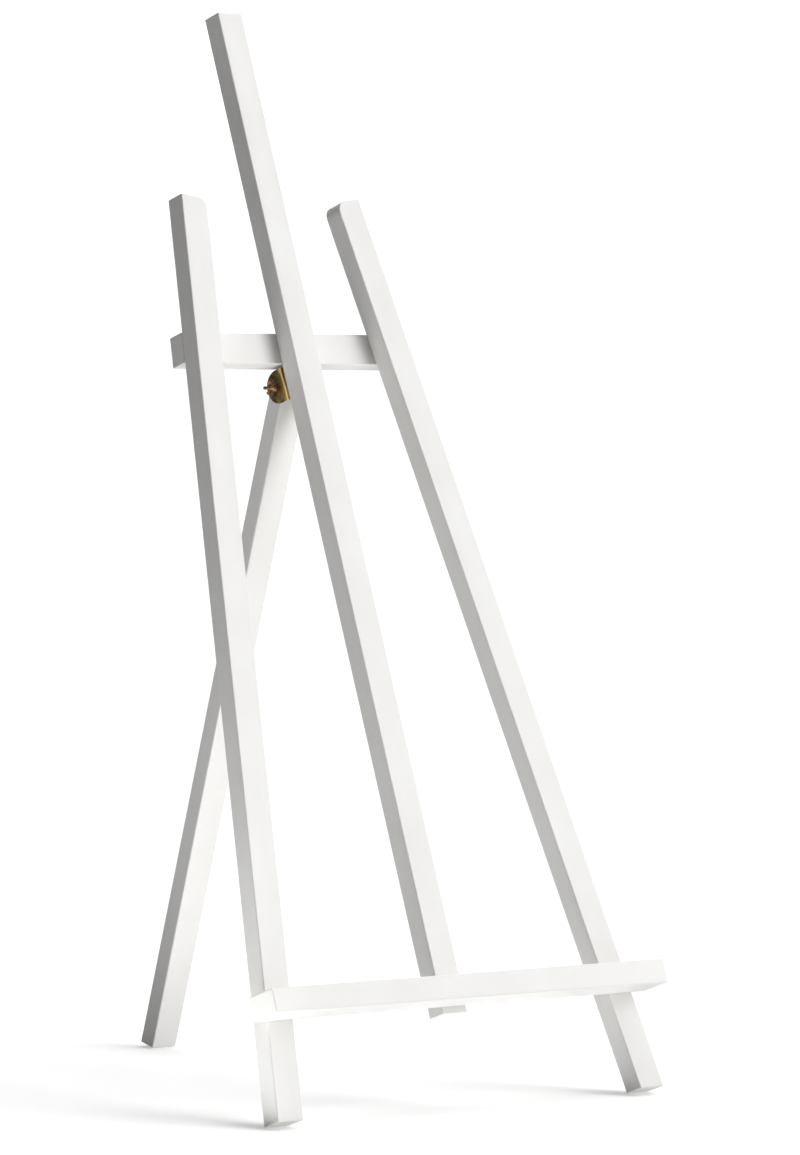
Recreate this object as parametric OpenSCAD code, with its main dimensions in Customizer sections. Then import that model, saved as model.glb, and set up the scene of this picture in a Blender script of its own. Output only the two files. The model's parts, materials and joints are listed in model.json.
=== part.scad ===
// Folding wooden display easel: three painted front members that lean back,
// a crossbar behind them, a shelf in front, and one rear leg that hinges in a
// brass bracket. Millimetres, +Z up, +X to the right of a viewer at -Y.
// The easel stands open. Its origin is on the floor, under the middle of its
// bounding box.

/* [Front members] */
// Width of the mast and the front legs, seen from the front
member_w = 46; // [38:1:50]
// Thickness of the mast and the front legs, front to back
member_t = 31; // [26:1:36]
// Radius of the long edges of every wooden member
edge_r = 2; // [1:0.25:4]
// Lean of the front members from upright, in degrees
lean = 22.5; // [18:0.5:26]
// Length of the mast
mast_length = 1490; // [1350:10:1600]
// Distance of the mast's lower end from the foot line, along the slope
mast_rise = 130; // [120:5:138]
// Length of each front leg along its centre line
leg_length = 1351; // [1260:1:1450]
// Splay of each front leg from the mast, in degrees
splay = 8.4; // [6:0.1:9]
// Distance between the centres of the front legs at the foot line
foot_spread = 688; // [640:2:720]
// Radius of the inner top corner of each front leg
leg_top_r = 16; // [6:1:20]

/* [Crossbar] */
// Height of the crossbar's middle above the foot line, along the slope
crossbar_rise = 1119; // [1112:1:1160]
// Height of the crossbar
crossbar_h = 46; // [36:1:48]
// Thickness of the crossbar, front to back
crossbar_t = 27; // [22:1:34]

/* [Shelf] */
// Height of the shelf's middle above the foot line, along the slope
shelf_rise = 157; // [155:1:200]
// Length of the shelf
shelf_length = 744; // [700:2:800]
// Thickness of the shelf
shelf_h = 35; // [28:1:36]
// Depth of the shelf, front to back
shelf_depth = 51; // [40:1:60]

/* [Rear leg] */
// Width of the rear leg
rear_w = 45; // [36:1:46]
// Thickness of the rear leg, front to back
rear_t = 28; // [22:1:28]
// Angle between the rear leg and the mast when open, in degrees
open_angle = 35.4; // [32:0.1:38]
// Height of the pivot above the foot line, along the slope
pivot_rise = 1067; // [1050:0.5:1070]
// Distance of the pivot behind the mast's back face
pivot_setback = 21.4; // [21:0.1:24]

/* [Hinge bracket] */
// Thickness of the bracket's sheet
sheet_t = 2; // [1.5:0.25:2.5]
// Inside radius of the bracket's two bends
bend_r = 4; // [3:0.5:4]
// Height of the bracket along the mast
bracket_h = 48; // [44:1:48]
// Distance that the ears stand out behind the mast
ear_reach = 39; // [38:1:42]
// Gap between the rear leg and each ear
ear_gap = 1; // [0.8:0.1:1.5]

/* [Pivot hardware] */
// Radius of the pivot bolt's shank
bolt_r = 2.5; // [2:0.5:3]
// Length of bolt that stands out past the ear on the nut side
bolt_tail = 21.5; // [16:0.5:26]
// Outer radius of the bush in the rear leg
bush_r = 3.75; // [3.5:0.25:4.5]
// Outer radius of the two washers outside the ears
washer_r = 5.5; // [5:0.25:6.5]
// Span of the wing nut across its wings
wing_span = 20; // [18:1:28]
// Turn of the wings from square to the mast, in degrees
wing_turn = -57; // [-90:1:90]

/* [Wood screws] */
// Length of the screws that hold the crossbar
crossbar_screw_l = 46; // [40:1:47]
// Length of the screws that hold the shelf
shelf_screw_l = 64; // [50:1:65]
// Length of the screws that hold the bracket
bracket_screw_l = 20; // [14:1:25]
// Distance between the two screws of each crossbar joint
crossbar_screw_gap = 22; // [16:1:26]

/* [Hidden] */

$fn = 64;
white = "whitesmoke";
antique = "darkgoldenrod";
steel = "lightsteelblue";

over = 1;               // how far a cutter runs past a face
seam = 0.01;            // how far two joined shapes reach into each other
run_gap = 0.05;         // radial clearance of a turning fit
fixed_gap = 0.1;        // radial clearance of a fastener in its hole
stop_gap = 0.5;         // open rear leg's top edge to the bracket's plate
spacer_t = 0.8;         // thickness of the washers beside the rear leg
washer_t = 1;           // thickness of the washers outside the ears

// Wood screws: shank radii, and the other sizes in shank radii
crossbar_screw_r = 2.25;
shelf_screw_r = 2.5;
bracket_screw_r = 1.75;
screw_head = 2;         // radius of the head
screw_tip = 3;          // length of the point
screw_point = 0.2;      // radius of the point's end
recess_l = 2.2;         // cross recess: length of each arm
recess_w = 0.45;        // cross recess: width of each arm
recess_d = 0.8;         // cross recess: depth
bracket_screw_x = 11;   // bracket screws, each side of the mast's middle
bracket_screw_z = 14;   // bracket screws, above and below the pivot

// Bolt, in shank radii, and the bevel at its end
bolt_head = 1.9;        // radius of the head
bolt_head_h = 1.3;      // height of the head
bolt_socket = 0.7;      // radius of the hexagon socket
bolt_bevel = 0.6;

// Wing nut: its boss in bolt radii, the rest in wing spans
boss_foot = 2.1;        // boss radius at the washer
boss_top = 1.7;         // boss radius at the top
boss_h = 0.23;          // boss height
lobe_r = 0.143;         // radius of a wing's round end
lobe_h = 0.55;          // height of the middle of that end
wing_t = 0.09;          // thickness of a wing
wing_root_x = 1.5;      // where a wing grows out of the boss, in bolt radii
wing_root_w = 0.5;      // width of the wing's root inside the boss, in mm
wing_root_z = 0.5;      // height of the root's lower end above the washer, in mm
wing_root_h = 4;        // height of the root, in mm

// Half of the outer width of the bracket, and its outside bend radius
ear_x = rear_w / 2 + ear_gap + sheet_t;
outer_bend_r = bend_r + sheet_t;

// Leg centre line and outer edge at a height v along the slope
function leg_x(v) = foot_spread / 2 - v * tan(splay);
function leg_outer_x(v) = leg_x(v) + member_w / 2 / cos(splay);

// Rear leg: its angle from upright, the part above the pivot, which butts on
// the bracket's plate, and the part below it, which ends on the floor
rear_angle = open_angle - lean;
rear_above = (pivot_setback - sheet_t - stop_gap
    - rear_t / 2 * cos(open_angle)) / sin(open_angle);
pivot_y = pivot_rise * sin(lean) + (member_t + pivot_setback) * cos(lean);
pivot_z = pivot_rise * cos(lean) - pivot_setback * sin(lean);
rear_below = (pivot_z - rear_t / 2 * sin(rear_angle)) / cos(rear_angle);

// The feet's front edge is at y = 0 before this shift centres the easel
back_y = pivot_y + rear_below * sin(rear_angle) + rear_t / 2 * cos(rear_angle);
shift_y = -back_y / 2;

// Screw places: [x, height along the slope]
crossbar_joints = [for (side = [-1, 0, 1], row = [-1, 1])
    let (v = crossbar_rise + row * crossbar_screw_gap / 2)
    [side * leg_x(v), v]];
shelf_joints = [for (side = [-1, 0, 1]) [side * leg_x(shelf_rise), shelf_rise]];
bracket_joints = [for (side = [-1, 1], row = [-1, 1])
    [side * bracket_screw_x, pivot_rise + row * bracket_screw_z]];

// ---- Placing ----

// Board frame: X across, Y from the front faces backwards, Z up the slope
module leaning() {
    translate([0, shift_y, member_t * sin(lean)])
        rotate([-lean, 0, 0])
            children();
}

// Frame of the pivot in the board frame: Z points up the mast
module at_pivot() {
    translate([0, member_t + pivot_setback, pivot_rise]) children();
}

// Turns a shape made along Z so that it lies along X
module along_x() {
    rotate([0, 90, 0]) children();
}

// Puts a screw or hole at each place, its head facing backwards at depth y
module at_joints(places, y) {
    for (p = places)
        translate([p[0], y, p[1]])
            rotate([-90, 0, 0])
                children();
}

// ---- Shared shapes ----

// Rectangle with rounded corners, its middle at the origin
module round_rect(w, h, r) {
    square([w - 2 * r, h], center = true);
    square([w, h - 2 * r], center = true);
    for (x = [-1, 1], y = [-1, 1])
        translate([x * (w / 2 - r), y * (h / 2 - r)])
            circle(r);
}

// Wooden bar along Z, its front face at y = 0
module bar(w, t, length) {
    translate([0, t / 2, 0])
        linear_extrude(length)
            round_rect(w, t, edge_r);
}

// Countersunk wood screw along Z, its head's top face at z = 0
module screw(r, length, grow = 0) {
    tip_l = screw_tip * r;
    translate([0, 0, -r])
        cylinder(r1 = r + grow, r2 = screw_head * r + grow, h = r);
    translate([0, 0, tip_l - length])
        cylinder(r = r + grow, h = length - tip_l - r + seam);
    translate([0, 0, -length])
        cylinder(r1 = screw_point * r + grow, r2 = r + grow, h = tip_l);
}

// The same screw with a cross recess in its head
module cross_screw(r, length) {
    difference() {
        screw(r, length);
        for (turn = [0, 90])
            rotate([0, 0, turn])
                cube([recess_l * r, recess_w * r, 2 * recess_d * r], center = true);
    }
}

module screw_hole(r, length) {
    screw(r, length + fixed_gap, fixed_gap);
}

module ring(outer_r, inner_r, h) {
    difference() {
        cylinder(r = outer_r, h = h);
        translate([0, 0, -over]) cylinder(r = inner_r, h = h + 2 * over);
    }
}

// ---- Wooden frame ----

module crossbar_holes() {
    at_joints(crossbar_joints, member_t + crossbar_t)
        screw_hole(crossbar_screw_r, crossbar_screw_l);
}

module shelf_holes() {
    at_joints(shelf_joints, member_t)
        screw_hole(shelf_screw_r, shelf_screw_l);
}

module bracket_holes() {
    at_joints(bracket_joints, member_t + sheet_t)
        screw_hole(bracket_screw_r, bracket_screw_l);
}

module centre_mast() {
    color(white)
        leaning()
            difference() {
                translate([0, 0, mast_rise]) bar(member_w, member_t, mast_length);
                crossbar_holes();
                shelf_holes();
                bracket_holes();
            }
}

// Left leg before its holes: cut level at the foot, square at the top
module leg_blank() {
    intersection() {
        translate([-foot_spread / 2, 0, 0])
            rotate([0, splay, 0])
                difference() {
                    translate([0, 0, -member_w]) bar(member_w, member_t, leg_length + member_w);
                    inner_top_cutter();
                }
        translate([-foot_spread, -over, 0])
            cube([foot_spread, member_t + 2 * over, leg_length + member_w]);
    }
}

module inner_top_cutter() {
    translate([member_w / 2 - leg_top_r, -over, leg_length - leg_top_r])
        difference() {
            cube([leg_top_r + over, member_t + 2 * over, leg_top_r + over]);
            rotate([-90, 0, 0]) cylinder(r = leg_top_r, h = member_t + 2 * over);
        }
}

module left_leg() {
    color(white)
        leaning()
            difference() {
                leg_blank();
                crossbar_holes();
                shelf_holes();
            }
}

module right_leg() {
    color(white)
        leaning()
            difference() {
                mirror([1, 0, 0]) leg_blank();
                crossbar_holes();
                shelf_holes();
            }
}

// The crossbar's ends are cut flush with the outer edges of the legs
module crossbar() {
    top = crossbar_rise + crossbar_h / 2;
    bottom = crossbar_rise - crossbar_h / 2;
    color(white)
        leaning()
            difference() {
                intersection() {
                    translate([-foot_spread / 2, member_t + crossbar_t / 2, crossbar_rise])
                        along_x()
                            linear_extrude(foot_spread)
                                round_rect(crossbar_h, crossbar_t, edge_r);
                    translate([0, member_t + crossbar_t + over, 0])
                        rotate([90, 0, 0])
                            linear_extrude(crossbar_t + 2 * over)
                                polygon([
                                    [-leg_outer_x(bottom), bottom], [leg_outer_x(bottom), bottom],
                                    [leg_outer_x(top), top], [-leg_outer_x(top), top]
                                ]);
                }
                crossbar_holes();
            }
}

module shelf() {
    color(white)
        leaning()
            difference() {
                translate([-shelf_length / 2, -shelf_depth / 2, shelf_rise])
                    along_x()
                        linear_extrude(shelf_length)
                            round_rect(shelf_h, shelf_depth, edge_r);
                shelf_holes();
            }
}

module rear_leg() {
    color(white)
        leaning()
            at_pivot()
                rotate([open_angle, 0, 0])
                    difference() {
                        translate([0, -rear_t / 2, -rear_below])
                            bar(rear_w, rear_t, rear_below + rear_above);
                        translate([-rear_w, 0, 0])
                            along_x() cylinder(r = bush_r + fixed_gap, h = 2 * rear_w);
                    }
}

// ---- Hinge bracket ----

// U of a given bend radius around the rear leg, open backwards
module u_outline(half_w, r, base_y) {
    translate([-half_w, base_y + r]) square([2 * half_w, 2 * ear_reach]);
    translate([r - half_w, base_y]) square([2 * (half_w - r), 2 * r]);
    for (side = [-1, 1])
        translate([side * (half_w - r), base_y + r])
            circle(r);
}

// Side view of the bracket: straight at the mast, half round behind
module ear_outline() {
    flat = ear_reach - bracket_h / 2;
    translate([-over, -bracket_h / 2]) square([flat + over, bracket_h]);
    translate([flat, 0]) circle(bracket_h / 2, $fn = 96);
}

module hinge_bracket() {
    color(antique)
        leaning()
            difference() {
                translate([0, member_t, pivot_rise])
                    intersection() {
                        translate([0, 0, -bracket_h / 2])
                            linear_extrude(bracket_h)
                                difference() {
                                    u_outline(ear_x, outer_bend_r, 0);
                                    u_outline(ear_x - sheet_t, bend_r, sheet_t);
                                }
                        translate([-ear_x - over, 0, 0])
                            rotate([90, 0, 90])
                                linear_extrude(2 * (ear_x + over))
                                    ear_outline();
                    }
                bracket_holes();
                at_pivot()
                    translate([-2 * ear_x, 0, 0])
                        along_x() cylinder(r = bolt_r + fixed_gap, h = 4 * ear_x);
            }
}

// ---- Wood screws ----

module bracket_screws() {
    color(antique)
        leaning()
            at_joints(bracket_joints, member_t + sheet_t)
                cross_screw(bracket_screw_r, bracket_screw_l);
}

module crossbar_screws() {
    color(steel)
        leaning()
            at_joints(crossbar_joints, member_t + crossbar_t)
                cross_screw(crossbar_screw_r, crossbar_screw_l);
}

module shelf_screws() {
    color(steel)
        leaning()
            at_joints(shelf_joints, member_t)
                cross_screw(shelf_screw_r, shelf_screw_l);
}

// ---- Pivot hardware ----

// Round-headed bolt through both ears, its head on the right
module pivot_bolt() {
    head_r = bolt_head * bolt_r;
    head_h = bolt_head_h * bolt_r;
    dome_r = (head_r * head_r + head_h * head_h) / (2 * head_h);
    shank_l = 2 * ear_x + washer_t + bolt_tail;
    color(antique)
        leaning()
            at_pivot()
                translate([ear_x + washer_t, 0, 0])
                    along_x()
                        difference() {
                            union() {
                                intersection() {
                                    translate([0, 0, head_h - dome_r]) sphere(dome_r);
                                    cylinder(r = head_r, h = head_h);
                                }
                                translate([0, 0, bolt_bevel - shank_l])
                                    cylinder(r = bolt_r, h = shank_l - bolt_bevel + seam);
                                translate([0, 0, -shank_l])
                                    cylinder(r1 = bolt_r - bolt_bevel, r2 = bolt_r, h = bolt_bevel);
                            }
                            translate([0, 0, head_h / 3])
                                cylinder(r = bolt_socket * bolt_r, h = head_h, $fn = 6);
                        }
}

module head_washer() {
    color(antique)
        leaning()
            at_pivot()
                translate([ear_x, 0, 0])
                    along_x() ring(washer_r, bolt_r + fixed_gap, washer_t);
}

module pivot_bush() {
    color(antique)
        leaning()
            at_pivot()
                translate([-rear_w / 2, 0, 0])
                    along_x() ring(bush_r, bolt_r + run_gap, rear_w);
}

module pivot_spacers() {
    color("ivory")
        leaning()
            at_pivot()
                for (side = [-1, 1])
                    translate([side * (rear_w / 2 + ear_gap / 2) - spacer_t / 2, 0, 0])
                        along_x() ring(2 * bush_r, bolt_r + run_gap, spacer_t);
}

module nut_washer() {
    color(antique)
        leaning()
            at_pivot()
                translate([-ear_x - washer_t, 0, 0])
                    along_x() ring(washer_r, bolt_r + run_gap, washer_t);
}

// One wing, in the plane of X (outwards) and Y (away from the washer)
module wing() {
    rotate([90, 0, 0])
        linear_extrude(wing_t * wing_span, center = true)
            hull() {
                translate([(0.5 - lobe_r) * wing_span, lobe_h * wing_span])
                    circle(lobe_r * wing_span, $fn = 32);
                translate([wing_root_x * bolt_r, wing_root_z])
                    square([wing_root_w, wing_root_h]);
            }
}

// The nut's Z axis points away from the ear, along -X of the easel
module wing_nut() {
    color(antique)
        leaning()
            at_pivot()
                translate([-ear_x - washer_t, 0, 0])
                    rotate([wing_turn, 0, 0])
                        rotate([0, -90, 0])
                            difference() {
                                union() {
                                    cylinder(
                                        r1 = boss_foot * bolt_r,
                                        r2 = boss_top * bolt_r,
                                        h = boss_h * wing_span
                                    );
                                    for (turn = [90, 270])
                                        rotate([0, 0, turn]) wing();
                                }
                                translate([0, 0, -over])
                                    cylinder(r = bolt_r + run_gap, h = wing_span);
                            }
}

centre_mast();
left_leg();
right_leg();
crossbar();
shelf();
rear_leg();
hinge_bracket();
bracket_screws();
crossbar_screws();
shelf_screws();
pivot_bolt();
head_washer();
pivot_bush();
pivot_spacers();
nut_washer();
wing_nut();
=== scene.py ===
import json
import math

import bmesh
import bpy
from mathutils import Matrix, Vector

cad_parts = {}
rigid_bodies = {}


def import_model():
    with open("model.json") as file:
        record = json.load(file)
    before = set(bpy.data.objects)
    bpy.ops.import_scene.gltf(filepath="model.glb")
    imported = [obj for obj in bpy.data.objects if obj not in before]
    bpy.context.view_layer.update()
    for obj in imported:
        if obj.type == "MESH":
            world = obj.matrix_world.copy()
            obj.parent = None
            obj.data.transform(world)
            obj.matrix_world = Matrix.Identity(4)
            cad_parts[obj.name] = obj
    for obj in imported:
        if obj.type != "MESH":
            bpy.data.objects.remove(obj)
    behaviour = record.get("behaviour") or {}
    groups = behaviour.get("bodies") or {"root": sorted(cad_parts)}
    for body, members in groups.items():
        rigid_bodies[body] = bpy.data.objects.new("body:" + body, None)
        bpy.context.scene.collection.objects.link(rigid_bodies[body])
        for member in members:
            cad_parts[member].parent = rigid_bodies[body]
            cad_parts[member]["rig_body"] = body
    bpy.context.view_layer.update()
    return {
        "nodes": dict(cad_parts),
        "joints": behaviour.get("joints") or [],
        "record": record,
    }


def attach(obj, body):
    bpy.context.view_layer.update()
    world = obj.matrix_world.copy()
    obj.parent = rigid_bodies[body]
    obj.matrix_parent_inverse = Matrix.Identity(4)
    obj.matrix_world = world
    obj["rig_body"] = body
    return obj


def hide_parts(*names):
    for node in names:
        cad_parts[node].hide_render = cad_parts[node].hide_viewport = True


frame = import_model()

joints = {joint["name"]: joint for joint in frame["joints"]}
foldJoint = joints["rear_leg_fold"]
pivot = Vector(foldJoint["pos_m"])
openAngle = math.radians(foldJoint["range_deg"][1])
shelfFace = next(m for m in frame["record"]["mounts"] if m["name"] == "shelf_top")
lean = math.atan2(shelfFace["axis"][1], shelfFace["axis"][2])

# The board is the leaning front: X across it, Y from its front faces backwards, Z up the slope
boardAxes = Matrix.Rotation(-lean, 4, "X")
sidewaysAxes = boardAxes @ Matrix.Rotation(math.pi / 2, 4, "Y")  # Z along the shelf, crossbar and bolt
print("frame loaded, front leans", round(math.degrees(lean), 2), "degrees")


# How a piece gets into the scene and onto its body

def link(thing):
    bpy.context.scene.collection.objects.link(thing)
    return thing


def workPiece(mesh, name="work"):
    return link(bpy.data.objects.new(name, mesh))


def settle(piece):
    # the evaluated shape becomes the piece's own plain mesh
    evaluated = piece.evaluated_get(bpy.context.evaluated_depsgraph_get())
    mesh = bpy.data.meshes.new_from_object(evaluated)
    piece.modifiers.clear()
    old = piece.data
    piece.data = mesh
    bpy.data.meshes.remove(old)
    return mesh


def mount(piece, name, node, material=None, sharpAngle=40):
    piece.name = name
    piece.data.name = name
    if material:
        piece.data.materials.clear()
        piece.data.materials.append(material)
    piece.data.polygons.foreach_set("use_smooth", [True] * len(piece.data.polygons))
    piece.data.set_sharp_from_angle(angle=math.radians(sharpAngle))
    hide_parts(node)
    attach(piece, frame["nodes"][node]["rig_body"])
    return piece


def nodeExtent(node, axes):
    # lowest and highest corner of a CAD node along other axes
    back = axes.inverted()
    points = [back @ v.co for v in frame["nodes"][node].data.vertices]
    low = Vector([min(p[i] for p in points) for i in range(3)])
    high = Vector([max(p[i] for p in points) for i in range(3)])
    return low, high


def mergedCopy(node):
    # a CAD mesh is loose triangles, so its copy is welded and its flat faces made whole
    shape = bmesh.new()
    shape.from_mesh(frame["nodes"][node].data)
    bmesh.ops.remove_doubles(shape, verts=shape.verts, dist=2e-6)
    bmesh.ops.dissolve_limit(shape, angle_limit=math.radians(1), verts=shape.verts, edges=shape.edges)
    mesh = bpy.data.meshes.new(node + "Copy")
    shape.to_mesh(mesh)
    shape.free()
    return mesh


def islandExtents(node, axes):
    # the extent of each separate solid of a node
    shape = bmesh.new()
    shape.from_mesh(frame["nodes"][node].data)
    bmesh.ops.remove_doubles(shape, verts=shape.verts, dist=2e-6)
    back = axes.inverted()
    left, found = set(shape.verts), []
    while left:
        reached = [left.pop()]
        points = []
        while reached:
            vert = reached.pop()
            points.append(back @ vert.co)
            for edge in vert.link_edges:
                other = edge.other_vert(vert)
                if other in left:
                    left.remove(other)
                    reached.append(other)
        found.append((Vector([min(p[i] for p in points) for i in range(3)]),
                      Vector([max(p[i] for p in points) for i in range(3)])))
    shape.free()
    return sorted(found, key=lambda pair: tuple(round(x, 4) for x in pair[0]))


# How node trees are built

def feed(tree, socket, value):
    if isinstance(value, bpy.types.NodeSocket):
        tree.links.new(value, socket)
    elif value is not None:
        socket.default_value = value


def put(tree, kind, inputs=None, **settings):
    node = tree.nodes.new(kind)
    for key, value in settings.items():
        setattr(node, key, value)
    for key, value in (inputs or {}).items():
        feed(tree, node.inputs[key], value)
    return node


def calc(tree, operation, *values):
    return put(tree, "ShaderNodeMath", dict(enumerate(values)), operation=operation).outputs[0]


def calcVector(tree, operation, *values):
    node = put(tree, "ShaderNodeVectorMath", dict(enumerate(values)), operation=operation)
    return node.outputs[0]


def joined(tree, x, y, z):
    return put(tree, "ShaderNodeCombineXYZ", {0: x, 1: y, 2: z}).outputs[0]


def startTree(name, inputs):
    tree = bpy.data.node_groups.new(name, "GeometryNodeTree")
    for label, kind, value in inputs:
        socket = tree.interface.new_socket(label, in_out="INPUT", socket_type="NodeSocket" + kind)
        if value is not None:
            socket.default_value = value
    tree.interface.new_socket("Geometry", in_out="OUTPUT", socket_type="NodeSocketGeometry")
    return tree, tree.nodes.new("NodeGroupInput").outputs


def endTree(tree, geometry, material):
    real = put(tree, "GeometryNodeRealizeInstances", {"Geometry": geometry})
    coated = put(tree, "GeometryNodeSetMaterial", {"Geometry": real.outputs[0], "Material": material})
    out = tree.nodes.new("NodeGroupOutput")
    tree.links.new(coated.outputs[0], out.inputs[0])


def grow(tree, values, host=None):
    # runs a tree on a piece, with its inputs set by their identifiers
    piece = host or workPiece(bpy.data.meshes.new("seed"))
    modifier = piece.modifiers.new(tree.name, "NODES")
    modifier.node_group = tree
    identifiers = {s.name: s.identifier for s in tree.interface.items_tree if s.in_out == "INPUT"}
    for label, value in values.items():
        modifier[identifiers[label]] = value
    settle(piece)
    return piece


# Materials

def startMaterial(name):
    material = bpy.data.materials.new(name)
    material.use_nodes = True
    tree = material.node_tree
    shader = next(n for n in tree.nodes if n.type == "BSDF_PRINCIPLED")
    return material, tree, shader


def noise(tree, place, scale, detail=3.0, roughness=0.5):
    inputs = {"Vector": place, "Scale": scale, "Detail": detail, "Roughness": roughness}
    return put(tree, "ShaderNodeTexNoise", inputs).outputs[0]


def ramp(tree, value, stops):
    node = put(tree, "ShaderNodeValToRGB", {0: value})
    elements = node.color_ramp.elements
    while len(elements) < len(stops):
        elements.new(0.5)
    for element, (position, colour) in zip(elements, stops):
        element.position = position
        element.color = (*colour, 1) if isinstance(colour, tuple) else (colour, colour, colour, 1)
    return node.outputs[0]


def blend(tree, share, first, second):
    node = put(tree, "ShaderNodeMix", data_type="RGBA")
    feed(tree, node.inputs[0], share)
    feed(tree, node.inputs[6], (*first, 1) if isinstance(first, tuple) else first)
    feed(tree, node.inputs[7], (*second, 1) if isinstance(second, tuple) else second)
    return node.outputs[2]


def bump(tree, shader, height, strength=1.0):
    node = put(tree, "ShaderNodeBump", {"Height": height, "Distance": 1.0, "Strength": strength})
    tree.links.new(node.outputs[0], shader.inputs["Normal"])


paintLook = {
    "white": (0.83, 0.825, 0.81),
    "shade": (0.79, 0.78, 0.76),
    "worn": (0.62, 0.58, 0.52),
    "grainAcross": 0.0016,   # metres from one grain line to the next
    "grainAlong": 0.09,
    "grainDepth": 0.00005,
    "strokeAcross": 0.0045,
    "strokeAlong": 0.30,
    "strokeDepth": 0.00005,
    "stippleSize": 0.0012,
    "stippleDepth": 0.000012,
    "cloudScale": 9,
    "ringSize": 0.0035,      # end grain
    "ringDepth": 0.00007,
    "ringMiddle": (0.031, 0.052, 0),
    "ringWobble": 0.006,
    "wobbleScale": 60,
    "rubScale": 45,          # paint rubbed off along the edges
    "rubShare": 0.35,
    "gloss": [(0.3, 0.36), (0.7, 0.5)],
    "endDullness": 0.18,
}


def satinPaint():
    look = paintLook
    material, tree, shader = startMaterial("satinPaint")
    place = put(tree, "ShaderNodeAttribute", attribute_name="barPlace").outputs["Vector"]
    arris = put(tree, "ShaderNodeAttribute", attribute_name="arris").outputs["Fac"]
    cutEnd = put(tree, "ShaderNodeAttribute", attribute_name="cutEnd").outputs["Fac"]

    def along(across, length):
        scale = (1 / across, 1 / across, 1 / length)
        return calcVector(tree, "MULTIPLY", place, scale)

    grain = noise(tree, along(look["grainAcross"], look["grainAlong"]), 1, 5, 0.6)
    strokes = noise(tree, along(look["strokeAcross"], look["strokeAlong"]), 1, 4, 0.55)
    stipple = noise(tree, place, 1 / look["stippleSize"], 2)
    cloud = noise(tree, place, look["cloudScale"], 3)

    # growth rings show on the sawn ends
    off = calcVector(tree, "ADD", place, look["ringMiddle"])
    flat = calcVector(tree, "MULTIPLY", off, (1, 1, 0))
    around = put(tree, "ShaderNodeVectorMath", {0: flat}, operation="LENGTH").outputs["Value"]
    wobble = calc(tree, "MULTIPLY", noise(tree, place, look["wobbleScale"], 2), look["ringWobble"])
    phase = calc(tree, "MULTIPLY", calc(tree, "ADD", around, wobble), 2 * math.pi / look["ringSize"])
    rings = calc(tree, "MULTIPLY", calc(tree, "SINE", phase), cutEnd)

    height = calc(tree, "MULTIPLY", grain, look["grainDepth"])
    height = calc(tree, "MULTIPLY_ADD", strokes, look["strokeDepth"], height)
    height = calc(tree, "MULTIPLY_ADD", stipple, look["stippleDepth"], height)
    height = calc(tree, "MULTIPLY_ADD", rings, look["ringDepth"] / 2, height)
    bump(tree, shader, height)

    tone = blend(tree, ramp(tree, cloud, [(0.3, 0.0), (0.7, 1.0)]), look["white"], look["shade"])
    # paint worn off in chips along the edges shows the wood
    chips = calc(tree, "MULTIPLY", arris, noise(tree, place, look["rubScale"], 5, 0.7))
    wearAndHighlight = ramp(tree, chips, [(0.46, 0.0), (0.62, 1.0)])
    tone = blend(tree, calc(tree, "MULTIPLY", wearAndHighlight, look["rubShare"]), tone, look["worn"])
    tree.links.new(tone, shader.inputs["Base Color"])
    dull = ramp(tree, strokes, look["gloss"])
    dull = calc(tree, "MULTIPLY_ADD", cutEnd, look["endDullness"], dull)
    tree.links.new(dull, shader.inputs["Roughness"])
    return material


brassLook = {
    "bright": (0.66, 0.46, 0.17),
    "dark": (0.125, 0.090, 0.055),
    "blotchSize": 0.009,
    "speckSize": 0.0018,
    "speckShare": 0.3,
    "highlightReach": 0.0055,     # how far out from the mast the bracket is painted bright, a painted highlight along its bend
    "highlightFade": 0.005,
    "dentSize": 0.0035,
    "dentDepth": 0.00010,
}


def antiqueBrass(name, highlightFrom=None):
    look = brassLook
    material, tree, shader = startMaterial(name)
    place = put(tree, "ShaderNodeTexCoord").outputs["Object"]
    blotch = noise(tree, place, 1 / look["blotchSize"], 4, 0.6)
    speck = noise(tree, place, 1 / look["speckSize"], 3, 0.6)
    blotchShare = calc(tree, "MULTIPLY", blotch, 1 - look["speckShare"])
    mixed = calc(tree, "MULTIPLY_ADD", speck, look["speckShare"], blotchShare)
    share = ramp(tree, mixed, [(0.44, 0.0), (0.64, 0.75)])
    # painted highlight: near the mast the base colour is painted bright along the bracket's bend, with a
    # ragged edge from the blotch noise
    if highlightFrom is not None:
        backwards = boardAxes.to_3x3() @ Vector((0, 1, 0))
        dot = put(tree, "ShaderNodeVectorMath", {0: place, 1: backwards}, operation="DOT_PRODUCT")
        out = dot.outputs["Value"]
        ragged = calc(tree, "MULTIPLY_ADD", blotch, look["highlightFade"], out)
        past = calc(tree, "SUBTRACT", ragged, highlightFrom + look["highlightReach"] + look["highlightFade"] / 2)
        wearAndHighlight = ramp(tree, calc(tree, "DIVIDE", past, look["highlightFade"]), [(0.0, 1.0), (1.0, 0.0)])
        share = calc(tree, "MAXIMUM", share, wearAndHighlight)
    tree.links.new(blend(tree, share, look["dark"], look["bright"]), shader.inputs["Base Color"])
    shader.inputs["Metallic"].default_value = 1
    tree.links.new(ramp(tree, share, [(0.0, 0.52), (1.0, 0.3)]), shader.inputs["Roughness"])
    dents = noise(tree, place, 1 / look["dentSize"], 1)
    height = calc(tree, "MULTIPLY", dents, look["dentDepth"])
    height = calc(tree, "MULTIPLY_ADD", speck, look["dentDepth"] / 8, height)
    bump(tree, shader, height)
    return material


copperLook = {
    "bright": (0.80, 0.46, 0.26),
    "dark": (0.30, 0.15, 0.08),
    "blotchSize": 0.004,
    "castSize": 0.0008,
    "castDepth": 0.00003,
}


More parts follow.
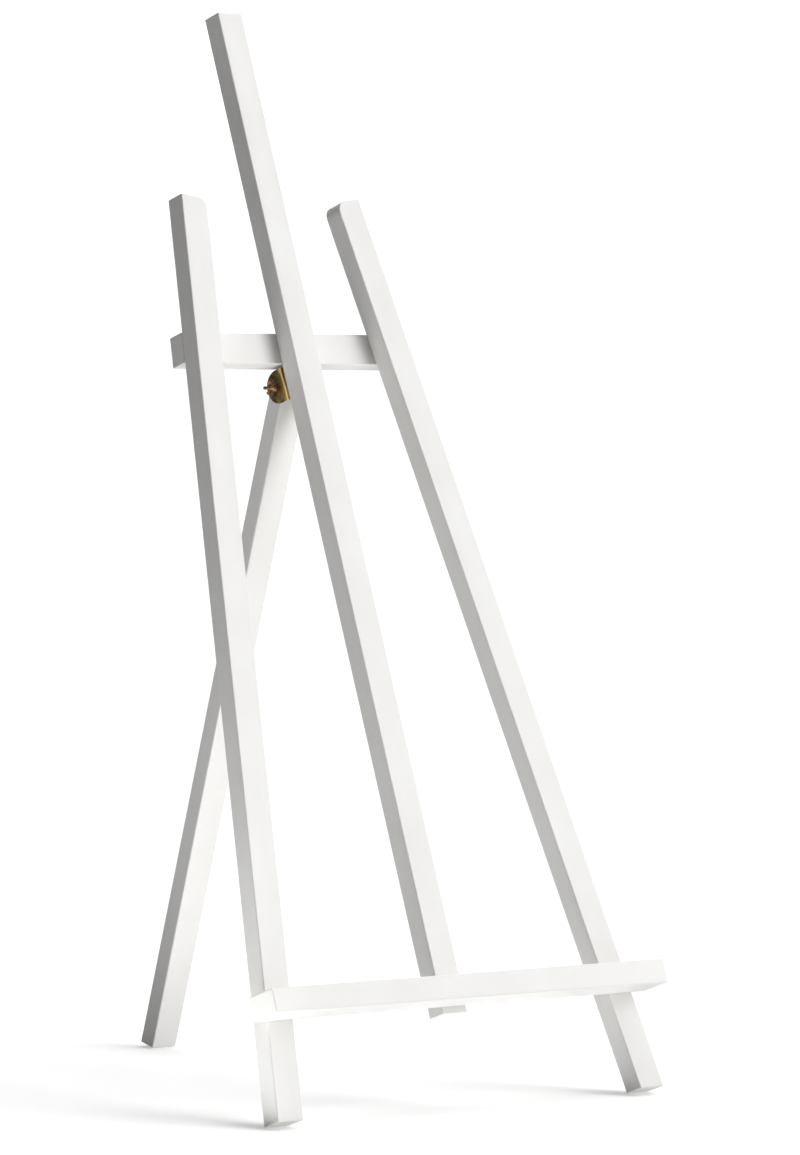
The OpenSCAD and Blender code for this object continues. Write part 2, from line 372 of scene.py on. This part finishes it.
def wornCopper():
    look = copperLook
    material, tree, shader = startMaterial("wornCopper")
    place = put(tree, "ShaderNodeTexCoord").outputs["Object"]
    blotch = noise(tree, place, 1 / look["blotchSize"], 5, 0.6)
    share = ramp(tree, blotch, [(0.36, 0.0), (0.56, 1.0)])
    tree.links.new(blend(tree, share, look["dark"], look["bright"]), shader.inputs["Base Color"])
    shader.inputs["Metallic"].default_value = 1
    tree.links.new(ramp(tree, blotch, [(0.35, 0.5), (0.6, 0.28)]), shader.inputs["Roughness"])
    cast = noise(tree, place, 1 / look["castSize"], 2)
    bump(tree, shader, calc(tree, "MULTIPLY", cast, look["castDepth"]))
    return material


zincLook = {
    "bright": (0.72, 0.72, 0.70),
    "dark": (0.50, 0.51, 0.52),
    "spangleSize": 0.0009,
    "scratchSize": 0.0002,
    "scratchDepth": 0.000006,
}


def zincSteel():
    look = zincLook
    material, tree, shader = startMaterial("zincSteel")
    place = put(tree, "ShaderNodeTexCoord").outputs["Object"]
    cells = put(tree, "ShaderNodeTexVoronoi", {"Vector": place, "Scale": 1 / look["spangleSize"]})
    spangle = calc(tree, "MULTIPLY_ADD", noise(tree, place, 900, 3), 0.6, cells.outputs["Distance"])
    share = ramp(tree, spangle, [(0.35, 0.0), (0.9, 1.0)])
    tree.links.new(blend(tree, share, look["dark"], look["bright"]), shader.inputs["Base Color"])
    shader.inputs["Metallic"].default_value = 1
    tree.links.new(ramp(tree, spangle, [(0.3, 0.42), (0.9, 0.28)]), shader.inputs["Roughness"])
    scratch = noise(tree, place, 1 / look["scratchSize"], 2)
    bump(tree, shader, calc(tree, "MULTIPLY", scratch, look["scratchDepth"]))
    return material


nylonLook = {
    "pale": (0.84, 0.82, 0.75),
    "dusty": (0.70, 0.67, 0.60),
    "matSize": 0.0006,
    "matDepth": 0.00001,
}


def paleNylon():
    look = nylonLook
    material, tree, shader = startMaterial("paleNylon")
    place = put(tree, "ShaderNodeTexCoord").outputs["Object"]
    cloud = noise(tree, place, 240, 3)
    tone = blend(tree, ramp(tree, cloud, [(0.35, 0.0), (0.7, 1.0)]), look["pale"], look["dusty"])
    tree.links.new(tone, shader.inputs["Base Color"])
    tree.links.new(ramp(tree, cloud, [(0.3, 0.45), (0.7, 0.6)]), shader.inputs["Roughness"])
    mat = noise(tree, place, 1 / look["matSize"], 2)
    bump(tree, shader, calc(tree, "MULTIPLY", mat, look["matDepth"]))
    return material


paint = satinPaint()
brass = antiqueBrass("antiqueBrass")
# this brass has a painted highlight: its base colour is bright near the mast, along the bracket's bend
plateBrass = antiqueBrass("brassPaintedHighlight", nodeExtent("hinge_bracket", boardAxes)[0].y)
copper = wornCopper()
zinc = zincSteel()
nylon = paleNylon()
print("materials made")


# Turned shapes: a profile of (radius, z) points from the lower end to the upper one

def turnedMesh(profile, steps=32, wave=None):
    shape = bmesh.new()
    rings = []
    for radius, z in profile:
        if radius == 0:
            rings.append([shape.verts.new((0, 0, z))])
            continue
        ring = []
        for i in range(steps):
            angle = 2 * math.pi * i / steps
            r = radius + (wave(radius, z, angle) if wave else 0)
            ring.append(shape.verts.new((r * math.cos(angle), r * math.sin(angle), z)))
        rings.append(ring)
    for low, high in zip(rings, rings[1:]):
        for i in range(steps):
            j = (i + 1) % steps
            corners = [low[i % len(low)], low[j % len(low)], high[j % len(high)], high[i % len(high)]]
            shape.faces.new(list(dict.fromkeys(corners)))
    mesh = bpy.data.meshes.new("turned")
    shape.to_mesh(mesh)
    shape.free()
    return mesh


def cutWith(piece, cutter):
    modifier = piece.modifiers.new("cut", "BOOLEAN")
    modifier.operation = "DIFFERENCE"
    modifier.solver = "EXACT"
    modifier.object = cutter
    settle(piece)
    return piece


def drop(*things):
    for thing in things:
        mesh = thing.data
        bpy.data.objects.remove(thing)
        bpy.data.meshes.remove(mesh)


# Wood screws: their places and sizes are those of the CAD screws

screwLook = {
    "head": 2,            # radius of the head, in shank radii
    "headRim": [(0.99, -0.07), (0.98, -0.015), (0.93, 0), (0.6, 0)],  # in head radii and shank radii
    "tip": 3,             # length of the taper, in shank radii
    "pointShare": 0.12,
    "waist": 1.08,        # of the thread's core
    "waistTop": 1.6,
    "pitch": 0.5,         # in shank diameters
    "threadDepth": 0.22,  # in shank radii
    "threadShare": 0.62,  # of the length
    "ringsPerTurn": 5,
    "steps": 24,
    "recessReach": 1.1,   # the cross recess, in shank radii from the middle
    "recessSide": 0.24,
    "recessDepth": 0.85,
    "recessTaper": 0.8,
    "holeGap": 0.0001,
    "holeOver": 0.002,
    "holeSteps": 28,
}


def screwSizes(extents):
    low, high = extents[0]
    return (high.x - low.x) / 2 / screwLook["head"], high.y - low.y


def threadWave(core, depth, pitch, low, high):
    def wave(radius, z, angle):
        if radius < core or not low <= z <= high:
            return 0
        turn = z / pitch - angle / (2 * math.pi)
        return -depth * abs(2 * (turn % 1) - 1)
    return wave


def crossEdge(reach, side, angle):
    # how far a cross with arms this long and half this wide goes out at an angle
    off = abs((angle + math.pi / 4) % (math.pi / 2) - math.pi / 4)
    return min(reach, side / max(math.sin(off), 1e-6))


def spread(low, high, count):
    return [low + (high - low) * i / count for i in range(count + 1)]


def screwMesh(radius, length):
    look = screwLook
    headRadius, tip = look["head"] * radius, look["tip"] * radius
    point, waist = look["pointShare"], radius * (1 - look["threadDepth"]) * look["waist"]
    pitch = 2 * radius * look["pitch"]
    threadTop = -length + length * look["threadShare"]
    gap = pitch / look["ringsPerTurn"]
    tipRings = spread(-length, -length + tip, int(tip / gap))
    rings = spread(-length + tip, threadTop, int((threadTop + length - tip) / gap))
    core = radius * (1 - look["threadDepth"])
    profile = [(0, -length)]
    profile += [(radius * (point + (1 - point) * (z + length) / tip), z) for z in tipRings[1:-1]]
    profile += [(radius, z) for z in rings]
    profile += [(waist, threadTop + gap), (waist, -radius * look["waistTop"]), (radius, -radius)]
    profile += [(headRadius * out, radius * up) for out, up in look["headRim"]]
    reach, floorAt = radius * look["recessReach"], -radius * look["recessDepth"]
    profile += [(reach, 0), (reach * look["recessTaper"], floorAt), (0, floorAt)]
    thread = threadWave(core, radius * look["threadDepth"], pitch, -length + tip / 2, threadTop)

    def wave(ringRadius, z, angle):
        if z >= floorAt and ringRadius <= reach:
            return crossEdge(ringRadius, radius * look["recessSide"], angle) - ringRadius
        return thread(ringRadius, z, angle)

    return workPiece(turnedMesh(profile, look["steps"], wave))


def screwSetTree():
    tree, given = startTree("screwSet", [
        ("Geometry", "Geometry", None), ("Screw", "Object", None), ("Tilt", "Rotation", None),
        ("Seed", "Int", 3), ("Metal", "Material", None)])
    screw = put(tree, "GeometryNodeObjectInfo", {"Object": given["Screw"]})
    points = put(tree, "GeometryNodeMeshToPoints", {"Mesh": given["Geometry"]})
    spin = put(tree, "FunctionNodeRandomValue", {"Seed": given["Seed"]}, data_type="FLOAT")
    spin.inputs[3].default_value = math.tau
    turn = put(tree, "FunctionNodeEulerToRotation", {0: joined(tree, 0, 0, spin.outputs[1])})
    facing = put(tree, "FunctionNodeRotateRotation", {0: turn.outputs[0], 1: given["Tilt"]})
    placed = put(tree, "GeometryNodeInstanceOnPoints", {
        "Points": points.outputs[0], "Instance": screw.outputs["Geometry"],
        "Rotation": facing.outputs[0]})
    endTree(tree, placed.outputs[0], given["Metal"])
    return tree


def screwHole(radius, length):
    gap, over = screwLook["holeGap"], screwLook["holeOver"]
    head = screwLook["head"] * radius + gap
    profile = [(0, -length - gap), (radius + gap, -length - gap), (radius + gap, -radius),
               (head, 0), (head, over), (0, over)]
    return turnedMesh(profile, screwLook["holeSteps"])


facingBack = Matrix.Rotation(-math.pi / 2, 4, "X")  # a head that faced Z faces backwards
screwTree = screwSetTree()
holeCutters = {}


def screwSet(name, node, metal, seed):
    extents = islandExtents(node, boardAxes)
    radius, length = screwSizes(extents)
    heads = [Vector(((low.x + high.x) / 2, high.y, (low.z + high.z) / 2)) for low, high in extents]
    screw = screwMesh(radius, length)
    places = bpy.data.meshes.new("places")
    places.from_pydata([boardAxes @ head for head in heads], [], [])
    tilt = (boardAxes @ facingBack).to_euler()
    values = {"Screw": screw, "Tilt": tilt, "Seed": seed, "Metal": metal}
    piece = grow(screwTree, values, workPiece(places))
    drop(screw)
    mount(piece, name, node, sharpAngle=30)
    cutter = bmesh.new()
    hole = screwHole(radius, length)
    for head in heads:
        before = len(cutter.verts)
        cutter.from_mesh(hole)
        cutter.verts.ensure_lookup_table()
        place = boardAxes @ Matrix.Translation(head) @ facingBack
        bmesh.ops.transform(cutter, matrix=place, verts=cutter.verts[before:])
    mesh = bpy.data.meshes.new(node + "Holes")
    cutter.to_mesh(mesh)
    cutter.free()
    bpy.data.meshes.remove(hole)
    holeCutters[node] = workPiece(mesh)
    return piece


screwSet("crossbarScrews", "crossbar_screws", zinc, 5)
screwSet("shelfScrews", "shelf_screws", zinc, 11)
screwSet("bracketScrews", "bracket_screws", brass, 17)
print("wood screws made")


# Timber: every wooden bar is one rounded bar with its own ends

timberLook = {
    "edgeRadius": 0.002,
    "endRadius": 0.0011,
    "ringSpacing": 0.008,
    "unevenness": 0.00022,   # how far hand sanding takes the faces down
    "unevenSize": 0.075,
}

splay = math.radians(8.4)
legCorner = 0.016
bars = {
    "centreMast": {"node": "centre_mast", "holes": ["crossbar_screws", "shelf_screws", "bracket_screws"]},
    "leftLeg": {"node": "left_leg", "turn": splay, "startSlant": math.tan(splay),
                "cornerRadius": legCorner, "cornerSide": 1, "holes": ["crossbar_screws", "shelf_screws"]},
    "rightLeg": {"node": "right_leg", "turn": -splay, "startSlant": -math.tan(splay),
                 "cornerRadius": legCorner, "cornerSide": -1, "holes": ["crossbar_screws", "shelf_screws"]},
    "crossbar": {"node": "crossbar", "turn": math.pi / 2, "startSlant": -math.tan(splay),
                 "endSlant": math.tan(splay), "holes": ["crossbar_screws"]},
    "shelf": {"node": "shelf", "turn": math.pi / 2, "holes": ["shelf_screws"]},
    "rearLeg": {"node": "rear_leg", "swing": openAngle, "holes": []},
}


def timberTree():
    tree, given = startTree("roundedBar", [
        ("Width", "Float", 0.044), ("Depth", "Float", 0.03), ("Length", "Float", 1.0),
        ("Edge Radius", "Float", 0.0025), ("End Radius", "Float", 0.0013),
        ("Start Slant", "Float", 0.0), ("End Slant", "Float", 0.0),
        ("Corner Radius", "Float", 0.0), ("Corner Side", "Float", 1.0),
        ("Ring Spacing", "Float", 0.008), ("Unevenness", "Float", 0.0002),
        ("Uneven Size", "Float", 0.075), ("Seed", "Float", 0.0), ("Paint", "Material", None)])
    roundSteps = 3      # faces from a flat to the middle of its rounded edge
    supportWidth = 0.0006
    slantLength = 1.5   # how far up a slanted end the slant fades out, in widths
    halves = [calc(tree, "MULTIPLY", given[label], 0.5) for label in ("Width", "Depth", "Length")]
    radii = [given["Edge Radius"], given["Edge Radius"], given["End Radius"]]
    ringCount = calc(tree, "CEIL", calc(tree, "DIVIDE", halves[2], given["Ring Spacing"]))
    flatSteps = [8, 5, ringCount]    # from a face's middle to its edge, across the width, depth and length

    # a grid of whole numbers, which the steps below stretch into place
    reach = [calc(tree, "ADD", count, roundSteps) for count in flatSteps]
    size = joined(tree, *[calc(tree, "MULTIPLY", r, 2) for r in reach])
    counts = [calc(tree, "MULTIPLY_ADD", r, 2, 1) for r in reach]
    cube = put(tree, "GeometryNodeMeshCube", {
        "Size": size, "Vertices X": counts[0], "Vertices Y": counts[1], "Vertices Z": counts[2]})
    grid = put(tree, "ShaderNodeSeparateXYZ", {0: put(tree, "GeometryNodeInputPosition").outputs[0]})

    flats, rounds = [], []
    for i in range(3):
        index = grid.outputs[i]
        sign = calc(tree, "SIGN", index)
        away = calc(tree, "ABSOLUTE", index)
        inner = calc(tree, "SUBTRACT", halves[i], radii[i])
        wide = calc(tree, "SUBTRACT", flatSteps[i], 1)
        main = calc(tree, "DIVIDE", calc(tree, "MINIMUM", away, wide), wide)
        support = calc(tree, "MINIMUM", calc(tree, "MAXIMUM", calc(tree, "SUBTRACT", away, wide), 0), 1)
        main = calc(tree, "MULTIPLY", main, calc(tree, "SUBTRACT", inner, supportWidth))
        flat = calc(tree, "MULTIPLY_ADD", support, supportWidth, main)
        past = calc(tree, "MAXIMUM", calc(tree, "SUBTRACT", away, flatSteps[i]), 0)
        bend = calc(tree, "TANGENT", calc(tree, "MULTIPLY", past, math.pi / 4 / roundSteps))
        flats.append(calc(tree, "MULTIPLY", flat, sign))
        rounds.append(calc(tree, "MULTIPLY", bend, sign))
    outward = calcVector(tree, "NORMALIZE", joined(tree, *rounds))
    shape = calcVector(tree, "MULTIPLY_ADD", outward, joined(tree, *radii), joined(tree, *flats))

    # how much of an edge and how much of a sawn end each point is
    bends = [calc(tree, "ABSOLUTE", r) for r in rounds]
    most = calc(tree, "MAXIMUM", calc(tree, "MAXIMUM", bends[0], bends[1]), bends[2])
    least = calc(tree, "MINIMUM", calc(tree, "MINIMUM", bends[0], bends[1]), bends[2])
    total = calc(tree, "ADD", calc(tree, "ADD", bends[0], bends[1]), bends[2])
    middle = calc(tree, "SUBTRACT", calc(tree, "SUBTRACT", total, most), least)
    marked = cube.outputs[0]
    for label, value in (("arris", middle), ("cutEnd", calc(tree, "GREATER_THAN", bends[2], 0.9))):
        inputs = {"Geometry": marked, "Name": label, "Value": value}
        mark = put(tree, "GeometryNodeStoreNamedAttribute", inputs, data_type="FLOAT", domain="POINT")
        marked = mark.outputs[0]

    # one upper corner may be rounded, and either end may be cut on the slant
    at = put(tree, "ShaderNodeSeparateXYZ", {0: shape}).outputs
    sideways = calc(tree, "MULTIPLY", at[0], given["Corner Side"])
    startX = calc(tree, "SUBTRACT", halves[0], given["Corner Radius"])
    startZ = calc(tree, "SUBTRACT", halves[2], given["Corner Radius"])
    pastX = calc(tree, "MAXIMUM", calc(tree, "SUBTRACT", sideways, startX), 0)
    pastZ = calc(tree, "MAXIMUM", calc(tree, "SUBTRACT", at[2], startZ), 0)
    further = calc(tree, "MAXIMUM", pastX, pastZ)
    squares = calc(tree, "MULTIPLY_ADD", pastX, pastX, calc(tree, "MULTIPLY", pastZ, pastZ))
    diagonal = calc(tree, "MAXIMUM", calc(tree, "SQRT", squares), 1e-9)
    pull = calc(tree, "SUBTRACT", calc(tree, "DIVIDE", further, diagonal), 1)
    hasBoth = calc(tree, "GREATER_THAN", calc(tree, "MULTIPLY", pastX, pastZ), 0)
    pull = calc(tree, "MULTIPLY", pull, hasBoth)
    newX = calc(tree, "MULTIPLY_ADD", calc(tree, "MULTIPLY", pastX, pull), given["Corner Side"], at[0])
    newZ = calc(tree, "MULTIPLY_ADD", pastZ, pull, at[2])
    slantReach = calc(tree, "MULTIPLY", given["Width"], slantLength)
    for slant, direction in (("Start Slant", 1), ("End Slant", -1)):
        fromEnd = calc(tree, "MULTIPLY_ADD", at[2], direction, halves[2])
        fade = calc(tree, "SUBTRACT", 1, calc(tree, "DIVIDE", fromEnd, slantReach))
        fade = calc(tree, "MULTIPLY", calc(tree, "MAXIMUM", fade, 0), given[slant])
        newZ = calc(tree, "MULTIPLY_ADD", fade, newX, newZ)
    shaped = put(tree, "GeometryNodeSetPosition", {
        "Geometry": marked, "Position": joined(tree, newX, at[1], newZ)})

    # sanding takes the faces down unevenly
    scale = calc(tree, "DIVIDE", 1, given["Uneven Size"])
    wander = put(tree, "ShaderNodeTexNoise", {"W": given["Seed"], "Scale": scale, "Detail": 2.0},
                 noise_dimensions="4D")
    depth = calc(tree, "MULTIPLY", calc(tree, "SUBTRACT", wander.outputs[0], 1), given["Unevenness"])
    offset = put(tree, "ShaderNodeVectorMath", {
        0: put(tree, "GeometryNodeInputNormal").outputs[0], "Scale": depth}, operation="SCALE").outputs[0]
    sanded = put(tree, "GeometryNodeSetPosition", {"Geometry": shaped.outputs[0], "Offset": offset})
    endTree(tree, sanded.outputs[0], given["Paint"])
    return tree


def timberBar(tree, name, bar, seed):
    if "swing" in bar:
        axes = Matrix.Rotation(bar["swing"] - lean, 4, "X")
    else:
        axes = boardAxes @ Matrix.Rotation(bar.get("turn", 0), 4, "Y")
    low, high = nodeExtent(bar["node"], axes)
    width, depth = high.x - low.x, high.y - low.y
    start = low.z + width / 2 * abs(bar.get("startSlant", 0))
    end = high.z - width / 2 * abs(bar.get("endSlant", 0))
    piece = grow(tree, {
        "Width": width, "Depth": depth, "Length": end - start,
        "Edge Radius": timberLook["edgeRadius"], "End Radius": timberLook["endRadius"],
        "Start Slant": bar.get("startSlant", 0.0), "End Slant": bar.get("endSlant", 0.0),
        "Corner Radius": bar.get("cornerRadius", 0.0), "Corner Side": float(bar.get("cornerSide", 1)),
        "Ring Spacing": timberLook["ringSpacing"], "Unevenness": timberLook["unevenness"],
        "Uneven Size": timberLook["unevenSize"], "Seed": float(seed), "Paint": paint})
    place = axes @ Matrix.Translation(((low.x + high.x) / 2, (low.y + high.y) / 2, (start + end) / 2))
    piece.data.transform(place)
    for holes in bar["holes"]:
        cutWith(piece, holeCutters[holes])
    back = place.inverted()
    values = []
    for vert in piece.data.vertices:
        values += [*(back @ vert.co + Vector((seed, 0, 0)))]
    attribute = piece.data.attributes.new("barPlace", "FLOAT_VECTOR", "POINT")
    attribute.data.foreach_set("vector", values)
    mount(piece, name, bar["node"], sharpAngle=35)
    return piece


timber = timberTree()
for number, (name, bar) in enumerate(bars.items()):
    timberBar(timber, name, bar, number + 1)
drop(*holeCutters.values())
print("timber made:", len(bars), "bars")


# Sheet metal and turned parts, with the small bevels of a stamped or turned edge

bevelLook = {
    "bracketWidth": 0.00035,
    "washerWidth": 0.00015,
    "bushWidth": 0.0002,
    "spacerWidth": 0.00012,
    "segments": 2,
    "sharperThan": 35,
}


def bevelled(node, name, material, width):
    piece = workPiece(mergedCopy(node))
    modifier = piece.modifiers.new("edges", "BEVEL")
    modifier.width = bevelLook[width]
    modifier.segments = bevelLook["segments"]
    modifier.limit_method = "ANGLE"
    modifier.angle_limit = math.radians(bevelLook["sharperThan"])
    modifier.use_clamp_overlap = True
    settle(piece)
    return mount(piece, name, node, material)


bevelled("hinge_bracket", "hingeBracket", plateBrass, "bracketWidth")
bevelled("head_washer", "headWasher", brass, "washerWidth")
bevelled("nut_washer", "nutWasher", brass, "washerWidth")
bevelled("pivot_bush", "pivotBush", brass, "bushWidth")
bevelled("pivot_spacers", "pivotSpacers", nylon, "spacerWidth")
print("bracket, washers and bush made")


boltLook = {
    "pitch": 0.0008,
    "threadDepth": 0.00045,
    "threadLength": 0.036,
    "ringsPerTurn": 5,
    "tipBevel": 0.0006,
    "steps": 32,
    "rimShare": 0.96,
    "rimHeight": 0.0003,
    "domeSteps": 9,
    "recessSides": 6,
    "recessRadius": 0.00175,
    "recessDepth": 0.0022,
    "recessOver": 0.002,
}


def boltRadius(axes):
    # the bolt's far end is its shank, less the bevel
    back = axes.inverted()
    points = [back @ v.co for v in frame["nodes"]["pivot_bolt"].data.vertices]
    lowest = min(p.z for p in points)
    near = [p for p in points if p.z < lowest + 0.001]
    return max(math.hypot(p.x, p.y) for p in near)


def pivotBolt():
    look = boltLook
    axes = Matrix.Translation(pivot) @ sidewaysAxes
    low, high = nodeExtent("pivot_bolt", axes)
    under = nodeExtent("head_washer", axes)[1].z
    headRadius = (high.x - low.x) / 2
    headHeight = high.z - under
    radius = boltRadius(axes)
    count = int(look["threadLength"] / look["pitch"] * look["ringsPerTurn"])
    threadTop = low.z + look["threadLength"]
    profile = [(0, low.z), (radius - look["tipBevel"], low.z)]
    profile += [(radius, z) for z in spread(low.z + look["tipBevel"], threadTop, count)]
    profile += [(radius, threadTop + look["pitch"]), (radius, under)]
    profile += [(headRadius * look["rimShare"], under), (headRadius, under + look["rimHeight"])]
    domeRadius = (headRadius ** 2 + headHeight ** 2) / (2 * headHeight)
    startAngle = math.asin(min(1, headRadius / domeRadius))
    for i in range(1, look["domeSteps"]):
        angle = startAngle * (1 - i / look["domeSteps"])
        profile.append((domeRadius * math.sin(angle), high.z - domeRadius * (1 - math.cos(angle))))
    profile.append((0, high.z))
    wave = threadWave(radius, look["threadDepth"], look["pitch"], low.z + look["tipBevel"], threadTop)
    bolt = workPiece(turnedMesh(profile, look["steps"], wave))
    floorAt, over = high.z - look["recessDepth"], high.z + look["recessOver"]
    across = look["recessRadius"]
    corners = [(0, floorAt), (across, floorAt), (across, over), (0, over)]
    socket = workPiece(turnedMesh(corners, look["recessSides"]))
    cutWith(bolt, socket)
    drop(socket)
    bolt.data.transform(axes)
    return mount(bolt, "pivotBolt", "pivot_bolt", brass, 30)


wingLook = {
    "voxel": 0.00028,
    "smoothing": 7,
    "smoothFactor": 0.5,
    "plugShare": 1.2,      # the old bore is filled before the melt, this much wider than the bolt
    "plugLength": 0.0055,
    "plugInset": 0.0002,
    "boreGap": 0.00005,
    "boreOver": 0.002,
}


def wingNut():
    look = wingLook
    axes = Matrix.Translation(pivot) @ sidewaysAxes
    low, high = nodeExtent("wing_nut", axes)
    radius = boltRadius(axes)
    bottom, top = high.z - look["plugLength"], high.z - look["plugInset"]
    wide = radius * look["plugShare"]
    plug = turnedMesh([(0, bottom), (wide, bottom), (wide, top), (0, top)])
    plug.transform(axes)
    shape = bmesh.new()
    shape.from_mesh(mergedCopy("wing_nut"))
    shape.from_mesh(plug)
    mesh = bpy.data.meshes.new("wings")
    shape.to_mesh(mesh)
    shape.free()
    nut = workPiece(mesh)
    remesh = nut.modifiers.new("melt", "REMESH")
    remesh.mode = "VOXEL"
    remesh.voxel_size = look["voxel"]
    smooth = nut.modifiers.new("round", "SMOOTH")
    smooth.factor = look["smoothFactor"]
    smooth.iterations = look["smoothing"]
    settle(nut)
    bottom, top = low.z - look["boreOver"], high.z + look["boreOver"]
    wide = radius + look["boreGap"]
    bore = workPiece(turnedMesh([(0, bottom), (wide, bottom), (wide, top), (0, top)], 40))
    bore.data.transform(axes)
    cutWith(nut, bore)
    drop(bore)
    return mount(nut, "wingNut", "wing_nut", copper, 50)


pivotBolt()
wingNut()
print("pivot bolt and wing nut made")


# Studio: a pale floor that glows a little, soft lights above and below it, and bright cards on it

studio = {
    "floorRadius": 60,
    "floorDrop": 0.0002,
    "floorWhite": 0.9,
    "floorGlow": 0.16,
    "felt": 0.35,        # how light the floor is for the light that it throws back
    "backdrop": 1.3,
    "ambient": 0.0,
    # where each light comes from in degrees round from the front and up, its strength and its width
    "lights": {
        "keyLight": (45, 40, 1.08, 35),
        "wideKey": (70, 40, 0.62, 35),
        "lowKey": (28, 12, 0.96, 35),
        "sideLight": (120, 12, 0.45, 35),
        "topLight": (90, 70, 1.2, 35),
        "backTop": (180, 70, 0.7, 35),
        "backLight": (162, 16, 0.6, 30),
        "underLeft": (-60, -60, 0.52, 35),
        "underFront": (8, -54, 1.2, 40),
    },
    # a lit wall that only shiny things show
    "glint": (-62, 8, 0.5, 40),
    "cardHeight": 0.002,
    # the middle, radius and strength of each card that throws light up
    "cards": {
        "leftCard": (-0.9, -0.3, 0.5, 2.6),
        "frontCard": (0.4, -1.1, 0.5, 1.24),
        "footCard": (-0.55, -0.45, 0.2, 0.3),
        "middleCard": (0.0, -0.1, 0.25, 0.75),
        "innerCard": (-0.3, 0.0, 0.22, 0.6),
        "rightCard": (0.2, -0.12, 0.2, 0.9),
    },
}


def floorMaterial():
    material = bpy.data.materials.new("palePaper")
    material.use_nodes = True
    tree = material.node_tree
    tree.nodes.clear()
    white, grey = studio["floorWhite"], studio["felt"]
    paper = put(tree, "ShaderNodeBsdfDiffuse", {"Color": (white, white, white, 1)})
    glow = put(tree, "ShaderNodeEmission", {"Strength": studio["floorGlow"]})
    seen = put(tree, "ShaderNodeAddShader", {0: paper.outputs[0], 1: glow.outputs[0]})
    felt = put(tree, "ShaderNodeBsdfDiffuse", {"Color": (grey, grey, grey, 1)})
    path = put(tree, "ShaderNodeLightPath")
    mix = put(tree, "ShaderNodeMixShader", {
        0: path.outputs["Is Camera Ray"], 1: felt.outputs[0], 2: seen.outputs[0]})
    put(tree, "ShaderNodeOutputMaterial", {"Surface": mix.outputs[0]})
    return material


def layFloor():
    shape = bmesh.new()
    bmesh.ops.create_circle(shape, cap_ends=True, radius=studio["floorRadius"], segments=128)
    mesh = bpy.data.meshes.new("floor")
    shape.to_mesh(mesh)
    shape.free()
    floor = workPiece(mesh, "floor")
    floor.location.z = -studio["floorDrop"]
    floor.data.materials.append(floorMaterial())
    floor.visible_shadow = False    # the lights under it shine through


def lightSky():
    world = bpy.data.worlds.new("paleBackdrop")
    bpy.context.scene.world = world
    world.use_nodes = True
    tree = world.node_tree
    tree.nodes.clear()
    felt = put(tree, "ShaderNodeBackground", {"Color": (1, 1, 1, 1), "Strength": studio["ambient"]})
    seen = put(tree, "ShaderNodeBackground", {"Color": (1, 1, 1, 1), "Strength": studio["backdrop"]})
    path = put(tree, "ShaderNodeLightPath")
    mix = put(tree, "ShaderNodeMixShader", {
        0: path.outputs["Is Camera Ray"], 1: felt.outputs[0], 2: seen.outputs[0]})
    put(tree, "ShaderNodeOutputWorld", {"Surface": mix.outputs[0]})


def hangLight(name, around, up, strength, width):
    light = bpy.data.lights.new(name, "SUN")
    light.energy = strength
    light.angle = math.radians(width)
    lamp = link(bpy.data.objects.new(name, light))
    turn = Matrix.Rotation(math.radians(around), 4, "Z") @ Matrix.Rotation(math.radians(90 - up), 4, "X")
    lamp.matrix_world = turn
    return lamp


def hangLights():
    for name, place in studio["lights"].items():
        hangLight(name, *place)
    hangLight("glint", *studio["glint"]).visible_diffuse = False
    for name, (x, y, radius, strength) in studio["cards"].items():
        light = bpy.data.lights.new(name, "AREA")
        light.shape = "DISK"
        light.size = 2 * radius
        light.energy = strength * math.pi ** 2 * radius ** 2
        card = link(bpy.data.objects.new(name, light))
        card.matrix_world = Matrix.Translation((x, y, studio["cardHeight"])) @ Matrix.Rotation(math.pi, 4, "X")
        card.visible_camera = False


view = {
    "place": (-6.291, -6.9555, 1.3898),
    "yaw": 42.717,
    "pitch": -4.086,
    "roll": 2.6,
    "lens": 206.67,
}


def setCamera():
    camera = bpy.data.cameras.new("camera")
    camera.lens = view["lens"]
    camera.sensor_width = 36
    camera.clip_end = 300
    thing = link(bpy.data.objects.new("camera", camera))
    turn = Matrix.Rotation(math.radians(-view["yaw"]), 4, "Z")
    turn = turn @ Matrix.Rotation(math.radians(90 + view["pitch"]), 4, "X")
    turn = turn @ Matrix.Rotation(math.radians(view["roll"]), 4, "Z")
    thing.matrix_world = Matrix.Translation(view["place"]) @ turn
    bpy.context.scene.camera = thing


layFloor()
lightSky()
hangLights()
setCamera()
bpy.context.scene.view_settings.view_transform = "Standard"
print("studio ready")
